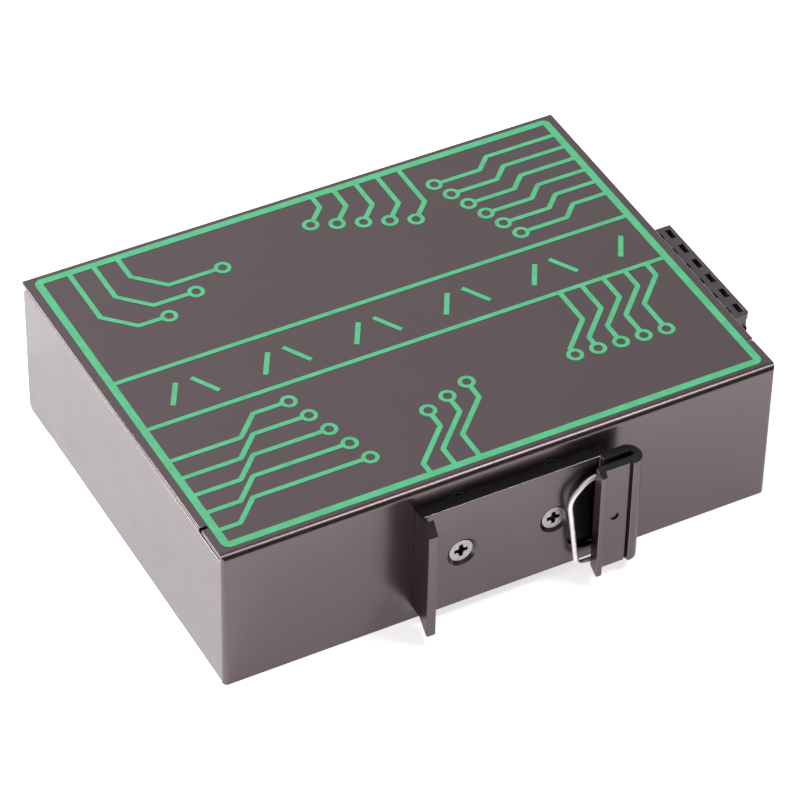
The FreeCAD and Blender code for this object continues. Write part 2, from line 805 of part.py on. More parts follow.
def spring_pocket():
    """Shallow pocket in the plate that clears the spring, with two round corners."""
    left = f"( {LIP_X} + rail_room - pocket_reach )"
    right = f"( {LIP_X} + rail_room )"
    face = f"{REAR_Y} - plate_thick"
    low = "( clip_bottom + pocket_margin )"
    high = "( clip_bottom + clip_width - pocket_margin )"
    tools = [
        box("pocket_long", (f"{left} + pocket_corner", face, low),
            (f"{right} - {left} - pocket_corner", "pocket_depth", f"{high} - {low}")),
        box("pocket_wide", (left, face, f"{low} + pocket_corner"),
            ("pocket_corner", "pocket_depth", f"{high} - {low} - 2 * pocket_corner")),
    ]
    for name, z in (("low", f"{low} + pocket_corner"), ("high", f"{high} - pocket_corner")):
        place = (f"{left} + pocket_corner", face, z)
        tools.append(cylinder(f"pocket_{name}", place, "2 * pocket_corner", "pocket_depth", "+y"))
    return tools


def rounded_path(corners, radii):
    """Open wire through corners, each inner corner turned into an arc of its own radius."""
    edges = []
    start = corners[0]
    for before, corner, after, radius in zip(corners, corners[1:], corners[2:], radii):
        back = (before - corner).normalize()
        ahead = (after - corner).normalize()
        half = math.acos(back.dot(ahead)) / 2
        reach = radius / math.tan(half)
        first = corner + back * reach
        last = corner + ahead * reach
        middle = (back + ahead).normalize()
        crown = corner + middle * (radius / math.sin(half) - radius)
        edges.append(Part.makeLine(start, first))
        edges.append(Part.Arc(first, crown, last).toShape())
        start = last
    edges.append(Part.makeLine(start, corners[-1]))
    return Part.Wire(edges)


def make_spring():
    """Wire spring: an open ring whose back run lies in the slot behind the pin."""
    lip = size("clip_middle") - size("jaw_left") + size("jaw_span")
    y = - size("case_depth") / 2 - size("fold_step") - size("fold_wall") - size("fold_slot") / 2
    low = size("clip_bottom") + size("spring_foot")
    high = size("clip_bottom") + size("clip_width") - size("spring_top")
    back = lip + size("slot_length") - size("spring_back")
    nose = lip - size("spring_reach") - size("wire_width") / 2
    middle = (low + high) / 2
    gap = size("pin_width")
    slant = size("spring_slant")
    outline = [
        (back, middle - gap),
        (back, low),
        (nose + size("spring_lean"), low),
        (nose, high - slant),
        (nose + slant, high),
        (back, high),
        (back, middle + gap),
    ]
    corners = [FreeCAD.Vector(x, y, z) for x, z in outline]
    bend, bow = size("spring_bend"), size("spring_bow")
    path = rounded_path(corners, [bend, bend, bow, bow, bend])
    section = Part.makeCircle(size("wire_width") / 2, corners[0], FreeCAD.Vector(0, 0, 1))
    spring = doc.addObject("Part::Feature", "spring_wire")
    spring.Shape = path.makePipeShell([Part.Wire(section)], True, True)
    keep(spring, "spring_wire")
    head = (f"{LIP_X} + pin_place", f"{REAR_Y} - {FOLD_FACE} + pin_sunk", CLIP_Z)
    keep(cylinder("spring_pin_post", head, "pin_width", f"{PIN_LENGTH} - pin_sunk", "+y"), "spring_pin")


# ---- board and what it carries

def make_board():
    corner = (f"- {ROOM_X} + board_side_gap", f"{REAR_Y} + sheet + board_rear_gap", f"{BOARD_Z} - board_thick")
    lengths = (
        f"2 * ( {ROOM_X} - board_side_gap )",
        "case_depth - 2 * sheet - board_rear_gap - board_front_gap",
        "board_thick",
    )
    plate = box("board_plate", corner, lengths)
    tools = []
    for index, (x, y) in enumerate(standoff_places()):
        place = (x, y, f"{BOARD_Z} - board_thick")
        tools.append(cylinder(f"board_hole_{index}", place, "screw_width + hole_gap", "board_thick"))
    for index in range(round(size("plug_poles"))):
        place = (PIN_X, pole_y(index), f"{BOARD_Z} - board_thick")
        tools.append(cylinder(f"pin_hole_{index}", place, "header_pin_hole", "board_thick"))
    keep(cut("board_cut", plate, tools), "main_board")


def port_shield(name, x):
    """Thin metal can round one port, open at its mouth and at the board."""
    low = (f"{x} - port_width / 2", PORT_BACK, BOARD_Z)
    shell = box(f"{name}_shell", low, ("port_width", "port_depth", "port_height"))
    room_low = (f"{x} - port_width / 2 + shield_wall", f"{PORT_BACK} + shield_wall", BOARD_Z)
    room_size = ("port_width - 2 * shield_wall", "port_depth - shield_wall", "port_height - shield_wall")
    return cut(f"{name}_shield", shell, [box(f"{name}_room", room_low, room_size)])


def port_housing(name, x, socket_back):
    """Moulded block inside the shield, with its socket and the latch's keyway below it."""
    low = (f"{x} - port_width / 2 + shield_wall", f"{PORT_BACK} + shield_wall", BOARD_Z)
    lengths = ("port_width - 2 * shield_wall", "port_depth - 2 * shield_wall", "port_height - shield_wall")
    core = box(f"{name}_core", low, lengths)
    socket = box(
        f"{name}_socket",
        (f"{x} - socket_width / 2", socket_back, f"{BOARD_Z} + socket_floor"),
        ("socket_width", "socket_depth", "socket_height"),
    )
    latch = box(
        f"{name}_latch",
        (f"{x} - latch_width / 2", socket_back, f"{BOARD_Z} + socket_floor - latch_height"),
        ("latch_width", "socket_depth", "latch_height"),
    )
    return cut(f"{name}_housing", core, [socket, latch])


def make_ports():
    shields = []
    housings = []
    contacts = []
    socket_back = f"{PORT_FACE} - shield_wall - socket_depth"
    contact_z = f"{BOARD_Z} + socket_floor + socket_height - contact_drop"
    for index in range(PORTS):
        name = f"port_{index}"
        x = port_x(index)
        shields.append(port_shield(name, x))
        housings.append(port_housing(name, x, socket_back))
        for line in range(CONTACTS):
            offset = f"( {line} - {(CONTACTS - 1) / 2} ) * contact_pitch - contact_width / 2"
            corner = (f"{x} + {offset}", socket_back, contact_z)
            lengths = ("contact_width", "contact_length", "contact_width")
            contacts.append(box(f"{name}_contact_{line}", corner, lengths))
    keep(group("port_shield_set", shields), "port_shields")
    keep(group("port_housing_set", housings), "port_housings")
    keep(group("port_contact_set", contacts), "port_contacts")


def make_lamps():
    """Block of right-angle lamps beside the ports, each lamp's dome outside its hole."""
    back = f"( {FRONT_Y} - sheet - lamp_gap - lamp_block )"
    low = (f"{lamp_x(0)} - lamp_pitch / 2", back, BOARD_Z)
    lengths = (f"{LAMP_COLUMNS} * lamp_pitch", "lamp_block", f"lamp_low + ( {LAMP_LINES} - 0.5 ) * lamp_pitch")
    block = box("lamp_holder_block", low, lengths)
    tools = []
    lamps = []
    for index, (x, z) in enumerate(lamp_places()):
        seat = (x, f"{back} + lamp_block - lamp_width", z)
        tools.append(cylinder(f"lamp_seat_{index}", seat, "lamp_width + lamp_gap", "lamp_width", "+y"))
        stem = cylinder(f"lamp_stem_{index}", seat, "lamp_width", "lamp_width + lamp_gap + sheet", "+y")
        dome = doc.addObject("Part::Sphere", f"lamp_dome_{index}")
        dome.setExpression("Radius", rule("lamp_width / 2"))
        put(dome, (x, FRONT_Y, z))
        lamps.append(fuse(f"lamp_{index}", [stem, dome]))
    keep(cut("lamp_holder_cut", block, tools), "lamp_holder")
    keep(group("lamp_set", lamps), "lamps")


def make_switch_chip():
    """Switch chip in the middle of the board, under a finned heat sink."""
    corner = ("- chip_side / 2", "chip_row - chip_side / 2", BOARD_Z)
    keep(box("switch_chip_block", corner, ("chip_side", "chip_side", "chip_height")), "switch_chip")
    base = ("- sink_side / 2", "chip_row - sink_side / 2", f"{BOARD_Z} + chip_height")
    sink = [box("sink_plate", base, ("sink_side", "sink_side", "sink_base"))]
    fins = 1 + int((size("sink_side") - size("fin_thick")) / size("fin_pitch"))
    for index in range(fins):
        corner = (f"- sink_side / 2 + {index} * fin_pitch", *base[1:])
        sink.append(box(f"sink_fin_{index}", corner, ("fin_thick", "sink_side", "sink_height")))
    keep(fuse("sink_solid", sink), "heat_sink")


def make_small_chips():
    """Crystal and memory left of the switch chip, regulators right of it."""
    left = "- sink_side / 2 - part_gap"
    corner = (f"{left} - crystal_length", "chip_row", BOARD_Z)
    keep(box("crystal_block", corner, ("crystal_length", "crystal_width", "crystal_height")), "crystal_can")
    corner = (f"{left} - memory_length", "chip_row - memory_width - part_gap", BOARD_Z)
    keep(box("memory_block", corner, ("memory_length", "memory_width", "memory_height")), "memory_chip")
    regulators = []
    for index in range(REGULATORS):
        x = f"sink_side / 2 + 2 * part_gap + {index} * ( regulator_length + part_gap )"
        corner = (x, "chip_row + regulator_width", BOARD_Z)
        lengths = ("regulator_length", "regulator_width", "regulator_height")
        regulators.append(box(f"regulator_{index}", corner, lengths))
    keep(group("regulator_set", regulators), "regulator_chips")


def make_coil_modules():
    """One coil module behind each port."""
    modules = []
    for index in range(PORTS):
        corner = (f"{port_x(index)} - coil_length / 2", f"{PORT_BACK} - coil_gap - coil_depth", BOARD_Z)
        modules.append(box(f"coil_module_{index}", corner, ("coil_length", "coil_depth", "coil_height")))
    keep(group("coil_module_set", modules), "coil_modules")


def make_power_parts():
    """Row of capacitors and the fuse between the rear standoffs, and the chokes before them."""
    first = f"{STAND_X} - board_screw_head / 2 - part_gap - can_width / 2"
    step = "( can_width + part_gap )"
    cans = []
    for index in range(CANS):
        x = f"{first} - {index} * {step}"
        low = (f"{x} - can_width / 2", f"{STAND_REAR} - can_width / 2", BOARD_Z)
        foot = box(f"can_foot_{index}", low, ("can_width", "can_width", "can_foot"))
        can = cylinder(f"can_{index}", (x, STAND_REAR, BOARD_Z), "can_width - 2 * can_inset", "can_height")
        cans.append(fuse(f"can_solid_{index}", [foot, can]))
    keep(group("can_set", cans), "filter_capacitors")
    corner = (f"{first} - {CANS} * {step} - fuse_length", f"{STAND_REAR} - fuse_width / 2", BOARD_Z)
    keep(box("fuse_block", corner, ("fuse_length", "fuse_width", "fuse_width")), "input_fuse")
    chokes = []
    for index in range(CHOKES):
        x = f"{STAND_X} - part_gap - choke_side / 2 - {index} * ( choke_side + part_gap )"
        low = (f"{x} - choke_side / 2", "choke_row - choke_side / 2", BOARD_Z)
        block = box(f"choke_block_{index}", low, ("choke_side", "choke_side", "choke_block"))
        post = cylinder(f"choke_post_{index}", (x, "choke_row", BOARD_Z), "choke_post", "choke_height")
        chokes.append(fuse(f"choke_{index}", [block, post]))
    keep(group("choke_set", chokes), "power_chokes")


# ---- power plug and header

def make_header():
    low = (f"{MOUTH_X} - header_depth", f"plug_middle - {HEADER_LONG} / 2", BOARD_Z)
    block = box("header_block", low, ("header_depth", HEADER_LONG, "header_height"))
    room_low = (f"{MOUTH_X} - header_depth + header_floor", POLES_START, f"{BOARD_Z} + header_wall")
    room_size = ("header_depth - header_floor", POLES_LONG, "header_height - 2 * header_wall")
    tools = [box("header_room", room_low, room_size)]
    pins = []
    for index in range(round(size("plug_poles"))):
        pole = pole_y(index)
        ahead = (f"{PIN_X} - header_pin / 2", f"{pole} - header_pin / 2", f"{PIN_Z} - header_pin / 2")
        ahead_size = ("header_depth - header_floor", "header_pin", "header_pin")
        down = (*ahead[:2], f"{BOARD_Z} - board_thick - header_pin_tail")
        down_size = ("header_pin", "header_pin", f"{PIN_Z} + header_pin / 2 - ( {down[2]} )")
        run = box(f"pin_run_{index}", ahead, ahead_size)
        drop = box(f"pin_drop_{index}", down, down_size)
        pins.append(fuse(f"pin_{index}", [run, drop]))
        tools.append(box(f"pin_bore_{index}", ahead, ahead_size))
        tools.append(box(f"pin_way_{index}", down, down_size))
    keep(cut("header_cut", block, tools), "plug_header")
    keep(group("pin_set", pins), "header_pins")


def plug_profile(body):
    """Section of the plug: a tongue that enters the header and a taller head outside."""
    section = sketch_on(body, "plug_section", "XZ_Plane", f"- {POLES_START} - {POLES_LONG}")
    tongue_x = f"{MOUTH_X} - header_depth + header_floor + plug_gap"
    tongue_low = f"{BOARD_Z} + header_wall + plug_gap"
    tongue_top = f"{BOARD_Z} + header_height - header_wall - plug_gap"
    add_outline(section, [
        (tongue_x, tongue_low),
        (PLUG_X, tongue_low),
        (PLUG_X, "plug_top"),
        (f"{MOUTH_X} + plug_gap", "plug_top"),
        (f"{MOUTH_X} + plug_gap", tongue_top),
        (tongue_x, tongue_top),
    ])
    return section


def wire_clamp(index, pole, well_x, entry_z):
    """Open cage that pulls one wire against its blade, with the screw's thread in its roof."""
    inside = "entry_width - 2 * thread_gap - 2 * clamp_wall"
    tall = "entry_height - 2 * thread_gap - 2 * clamp_wall"
    low = (f"{well_x} - clamp_length / 2", f"{pole} - entry_width / 2 + thread_gap", f"{entry_z} + thread_gap")
    cage = box(f"cage_{index}", low, ("clamp_length", f"{inside} + 2 * clamp_wall", f"{tall} + 2 * clamp_wall"))
    way_low = (low[0], f"{low[1]} + clamp_wall", f"{low[2]} + clamp_wall")
    way = box(f"cage_way_{index}", way_low, ("clamp_length", inside, tall))
    middle = (well_x, pole, f"{entry_z} + entry_height / 2")
    bore = cylinder(f"cage_bore_{index}", middle, "plug_screw_width", "entry_height / 2")
    return cut(f"clamp_{index}", cage, [way, bore])


def slotted_screw(name, seat):
    head = cylinder(f"{name}_head", ("0", "0", "0"), "plug_screw_head", "plug_screw_head / 2")
    shank_size = ("plug_screw_width - 2 * thread_gap", "entry_height / 2")
    shank = cylinder(f"{name}_shank", ("0", "0", "- entry_height / 2"), *shank_size)
    slot_low = ("- plug_screw_head / 2", "- plug_screw_slot / 2", "plug_screw_head / 4")
    slot = box(f"{name}_slot", slot_low, ("plug_screw_head", "plug_screw_slot", "plug_screw_head / 4"))
    return put(cut(name, fuse(f"{name}_solid", [head, shank]), [slot]), seat)


def make_plug():
    """Screw plug: per pole a wire entry, a well for its screw, and a slot in its top."""
    body = new_body("plug_body")
    pad(body, "plug_extrusion", plug_profile(body), POLES_LONG)
    end_x = size("case_length") / 2 + size("plug_reach")
    end_y = size("plug_middle") - size("plug_poles") * size("plug_pitch") / 2
    round_edges(body, "plug_corner", "z", [(end_x, end_y)], "plug_corner_radius")
    tongue_x = f"( {MOUTH_X} - header_depth + header_floor + plug_gap )"
    well_x = f"( {PLUG_X} - well_place )"
    entry_z = f"( {BOARD_Z} + header_wall + plug_gap + entry_floor )"
    well_z = f"{entry_z} + entry_height"
    tools = []
    clamps = []
    screws = []
    for index in range(round(size("plug_poles"))):
        pole = pole_y(index)
        entry = (f"{PLUG_X} - {ENTRY_DEPTH}", f"{pole} - entry_width / 2", entry_z)
        tools.append(box(f"entry_{index}", entry, (ENTRY_DEPTH, "entry_width", "entry_height")))
        well_height = f"plug_top - ( {well_z} )"
        tools.append(cylinder(f"well_{index}", (well_x, pole, well_z), "well_width", well_height))
        slot = (f"{PLUG_X} - slot_place - slot_wide / 2", f"{pole} - slot_long / 2", "plug_top - slot_deep")
        tools.append(box(f"top_slot_{index}", slot, ("slot_wide", "slot_long", "slot_deep")))
        blade = (tongue_x, f"{pole} - header_pin", f"{PIN_Z} - header_pin")
        blade_reach = f"{PLUG_X} - {ENTRY_DEPTH} - {tongue_x}"
        tools.append(box(f"blade_way_{index}", blade, (blade_reach, "2 * header_pin", "2 * header_pin")))
        clamps.append(wire_clamp(index, pole, well_x, entry_z))
        screws.append(slotted_screw(f"plug_screw_{index}", (well_x, pole, well_z)))
    recess = (f"{PLUG_X} - end_recess_back", POLES_START, "plug_top - end_recess_top")
    tools.append(cylinder("end_recess_tool", recess, "end_recess", "end_recess_depth", "+y"))
    keep(cut("plug_cut", body, tools), "power_plug")
    keep(group("clamp_set", clamps), "wire_clamps")
    keep(group("plug_screw_set", screws), "plug_screws")


# ---- ground screw

def make_ground_screw():
    """Ground screw through the plug's end wall, with its washer and pressed-in nut."""
    level = ("ground_place", "case_height / 2")
    disc = cylinder("ground_washer_disc", (WALL_X, *level), "washer_width", "washer_thick", "+x")
    bore = cylinder("ground_washer_bore", (WALL_X, *level), "ground_width + hole_gap", "washer_thick", "+x")
    keep(cut("ground_washer_cut", disc, [bore]), "ground_washer")
    screw = pan_screw(
        "ground_screw_solid", "ground_width", "ground_head", "ground_head_height", "ground_length"
    )
    keep(put(screw, (f"{WALL_X} + washer_thick", *level), "+x"), "ground_screw")
    thread = "ground_width + 2 * thread_gap"
    nut = clinch_nut("ground_nut_solid", "ground_nut_width", "ground_neck", thread)
    keep(put(nut, (ROOM_X, *level), "-x"), "ground_nut")


# ---- print on the side panel

PRINT_LEFT = "( - case_length / 2 + border_side )"
PRINT_RIGHT = "( case_length / 2 - border_side )"
PRINT_REAR = f"( {REAR_Y} + border_rear )"
PRINT_FRONT = f"( {FRONT_Y} - border_front )"
BAND_REAR = "( band_middle - band_width / 2 )"
BAND_FRONT = "( band_middle + band_width / 2 )"


def stroke(name, start, length, angle):
    """Straight line of ink from a start point, its width centred on the line."""
    turn = math.radians(angle)
    line = doc.addObject("Part::Box", name)
    line.Placement = FreeCAD.Placement(
        FreeCAD.Vector(), FreeCAD.Rotation(FreeCAD.Vector(0, 0, 1), angle)
    )
    line.setExpression("Length", rule(length))
    line.setExpression("Width", rule("ink_line"))
    line.setExpression("Height", rule("ink_thick"))
    line.setExpression("Placement.Base.x", rule(f"{start[0]} + {math.sin(turn):.6f} * ink_line / 2"))
    line.setExpression("Placement.Base.y", rule(f"{start[1]} - {math.cos(turn):.6f} * ink_line / 2"))
    line.setExpression("Placement.Base.z", rule("case_height"))
    return line


def pad_mark(name, centre):
    """Ring of ink that ends a trace."""
    outer = cylinder(f"{name}_outer", (*centre, "case_height"), "pad_ring", "ink_thick")
    inner = cylinder(f"{name}_inner", (*centre, "case_height"), "pad_ring - 2 * pad_line", "ink_thick")
    return cut(name, outer, [inner])


def trace(name, start, legs):
    """Trace of ink: legs, each of a length in steps and a heading in degrees, then a ring."""
    items = []
    x, y = start
    for number, (steps, angle) in enumerate(legs):
        turn = math.radians(angle)
        last = number == len(legs) - 1
        trim = "- pad_ring / 2 + pad_line / 2" if last else "+ ink_overlap"
        items.append(stroke(f"{name}_{number}", (x, y), f"{steps} * trace_step {trim}", angle))
        x = f"{x} + {steps * math.cos(turn):.6f} * trace_step"
        y = f"{y} + {steps * math.sin(turn):.6f} * trace_step"
    items.append(pad_mark(f"{name}_ring", (x, y)))
    return items


def rounded_plate(name, low, high, radius):
    """Flat plate of ink between two corners, its own corners rounded."""
    wide, deep = f"( {high[0]} - {low[0]} )", f"( {high[1]} - {low[1]} )"
    along = box(f"{name}_along", (low[0], f"{low[1]} + {radius}", "case_height"),
                (wide, f"{deep} - 2 * {radius}", "ink_thick"))
    across = box(f"{name}_across", (f"{low[0]} + {radius}", low[1], "case_height"),
                 (f"{wide} - 2 * {radius}", deep, "ink_thick"))
    items = [along, across]
    for x in (f"{low[0]} + {radius}", f"{high[0]} - {radius}"):
        for y in (f"{low[1]} + {radius}", f"{high[1]} - {radius}"):
            items.append(cylinder(f"{name}_corner", (x, y, "case_height"), f"2 * {radius}", "ink_thick"))
    return fuse(f"{name}_plate", items)


def print_frame():
    """Border round the panel and the two lines of the band across it."""
    low, high = (PRINT_LEFT, PRINT_REAR), (PRINT_RIGHT, PRINT_FRONT)
    inner_low = (f"{PRINT_LEFT} + border_line", f"{PRINT_REAR} + border_line", "case_height")
    inner_size = (
        f"{PRINT_RIGHT} - {PRINT_LEFT} - 2 * border_line",
        f"{PRINT_FRONT} - {PRINT_REAR} - 2 * border_line",
        "ink_thick",
    )
    outer = rounded_plate("border", low, high, "border_corner")
    items = [cut("border", outer, [box("border_inner", inner_low, inner_size)])]
    start_x = f"{PRINT_LEFT} + border_line / 2"
    length = f"{PRINT_RIGHT} - {PRINT_LEFT} - border_line"
    for name, level in (("rear", BAND_REAR), ("front", BAND_FRONT)):
        items.append(stroke(f"band_line_{name}", (start_x, level), length, 0))
    return items


# bundles of traces: how many, the line they leave, the first one's place and their spacing along it,
# then the legs as length, change of length from one trace to the next, and heading in degrees;
# all lengths are in trace steps
TRACE_BUNDLES = {
    "rear_left": (5, "left", 1.3, 1.6, [(1.5, 0.8, 0), (2.2, 0, 45), (7.5, -1.3, 0)]),
    "rear_middle": (3, "rear", 13, 1.6, [(1, 0.6, 90), (3.4, 0, 45), (1.5, 0, 90)]),
    "rear_right": (5, "band", 1.4, 1.5, [(1.2, 0.4, 270), (2.8, 0, 225), (2.6, -0.5, 270)]),
    "front_right": (6, "right", 1.4, 1.3, [(5, -0.5, 180), (1.4, 0, 225), (3.2, 0, 180)]),
    "front_middle": (5, "front", 10.5, 1.5, [(3.6, -0.6, 270), (1.8, 0, 225)]),
    "front_left": (3, "front_left", 2, 1.6, [(4.6, -1.3, 270), (2.4, 0, 315), (2, 0.8, 0)]),
}


def trace_start(line, steps):
    """Point on one of the lines that traces leave, so many steps along it."""
    left = f"{PRINT_LEFT} + border_line / 2"
    right = f"{PRINT_RIGHT} - border_line / 2"
    rear = f"{PRINT_REAR} + border_line / 2"
    front = f"{PRINT_FRONT} - border_line / 2"
    along = f"{steps:.3f} * trace_step"
    return {
        "left": (left, f"{rear} + {along}"),
        "rear": (f"{left} + {along}", rear),
        "band": (f"{right} - {along}", BAND_REAR),
        "right": (right, f"{front} - {along}"),
        "front": (f"{right} - {along}", front),
        "front_left": (f"{left} + {along}", front),
    }[line]


def print_traces():
    """Circuit traces: dense over the front right corner, sparse over the front left one."""
    items = []
    for name, (count, line, first, spacing, legs) in TRACE_BUNDLES.items():
        for index in range(count):
            start = trace_start(line, first + spacing * index)
            run = [(steps + change * index, heading) for steps, change, heading in legs]
            items += trace(f"{name}_{index}", start, run)
    return items


def band_marks():
    """Row of plain marks along the band that lean to either side in turn."""
    items = []
    lean = size("mark_lean")
    for index in range(-MARK_PAIRS, MARK_PAIRS + 1):
        angle = 90 - lean if index % 2 else 90 + lean
        start = (f"{index} * mark_pitch", "band_middle - mark_length / 2")
        items.append(stroke(f"mark_{index + MARK_PAIRS}", start, "mark_length", angle))
    return items


def make_print():
    keep(fuse("print_solid", print_frame() + print_traces() + band_marks()), "side_print")


# ---- build, check and export

make_cover()
make_base()
make_clip()
make_clip_fasteners()
make_spring()
make_case_fasteners()
make_standoffs()
make_board()
make_ports()
make_lamps()
make_switch_chip()
make_small_chips()
make_coil_modules()
make_power_parts()
make_header()
make_plug()
make_ground_screw()
make_print()
doc.recompute()

for item in doc.Objects:
    if {"Invalid", "Error"} & set(item.State):
        raise ValueError(f"{item.Name} did not build: {item.State}")

os.makedirs("parts", exist_ok=True)
for piece in pieces:
    if piece.Shape.isNull() or not piece.Shape.isValid():
        raise ValueError(f"{piece.Label} has no valid shape")
    piece.Shape.exportStep(f"parts/{piece.Label}.step")
    print(piece.Label, len(piece.Shape.Solids), round(piece.Shape.Volume, 2))
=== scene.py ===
"""Looks of a DIN rail ethernet switch: finishes, softened edges, studio floor, lamps and camera.

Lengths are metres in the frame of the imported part: X along the case towards its power plug, -Y to the
rail clip, +Y to the ports, Z up from the bottom panel.
"""

import math

import bmesh
import bpy
from mathutils import Matrix, Vector


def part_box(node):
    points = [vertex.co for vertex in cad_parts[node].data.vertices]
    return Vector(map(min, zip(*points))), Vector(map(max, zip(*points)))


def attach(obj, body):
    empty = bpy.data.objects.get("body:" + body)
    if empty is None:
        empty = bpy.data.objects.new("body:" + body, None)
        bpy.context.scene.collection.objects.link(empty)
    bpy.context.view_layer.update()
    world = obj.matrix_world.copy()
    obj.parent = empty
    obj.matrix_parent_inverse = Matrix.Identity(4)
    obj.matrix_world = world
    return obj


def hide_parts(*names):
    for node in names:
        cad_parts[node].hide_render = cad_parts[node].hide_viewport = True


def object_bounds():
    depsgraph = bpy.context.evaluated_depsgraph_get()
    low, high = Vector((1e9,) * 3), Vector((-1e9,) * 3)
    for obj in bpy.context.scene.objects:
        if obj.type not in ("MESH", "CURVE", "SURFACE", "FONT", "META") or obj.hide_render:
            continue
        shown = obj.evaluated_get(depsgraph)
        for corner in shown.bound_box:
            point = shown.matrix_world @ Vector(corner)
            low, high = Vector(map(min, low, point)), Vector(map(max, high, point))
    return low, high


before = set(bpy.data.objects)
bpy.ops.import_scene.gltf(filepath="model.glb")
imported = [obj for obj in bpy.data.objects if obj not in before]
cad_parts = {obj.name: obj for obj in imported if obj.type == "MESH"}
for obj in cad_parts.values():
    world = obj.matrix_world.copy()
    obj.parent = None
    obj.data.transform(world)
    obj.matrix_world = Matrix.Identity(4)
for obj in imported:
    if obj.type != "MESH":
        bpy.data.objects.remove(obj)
CAD_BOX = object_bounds()

MM = 0.001


def placed(name, data):
    """A new object of that data, linked into the scene."""
    thing = bpy.data.objects.new(name, data)
    bpy.context.scene.collection.objects.link(thing)
    return thing


def scaled(colour, factor):
    """The colour made lighter or darker by the factor, no brighter than white."""
    return tuple(min(c * factor, 1.0) for c in colour)


# ---------------------------------------------------------------- finishes

# warm tints of the reflections on black paint and plastic, and on dyed aluminium
PAINT_SHEEN = (1.0, 0.72, 0.79, 1.0)
DYE_SHEEN = (0.85, 0.74, 0.77, 1.0)
# stretch of a texture that draws its grain out along one axis
ALONG_X = (0.05, 1, 1)
ALONG_Y = (1, 0.05, 1)
ALONG_Z = (1, 1, 0.05)
EVEN = (1, 1, 1)
# parts of a noise's range that drifts of colour and of gloss are read from, and a mark's soft border
DRIFT_RANGE = (0.3, 0.7)
GLOSS_RANGE = (0.25, 0.75)
MARK_BORDER = 0.08
# detail of each kind of noise: relief, drifts and marks
RELIEF_DETAIL = 2.0
DRIFT_DETAIL = 4.0
MARK_DETAIL = 5.0


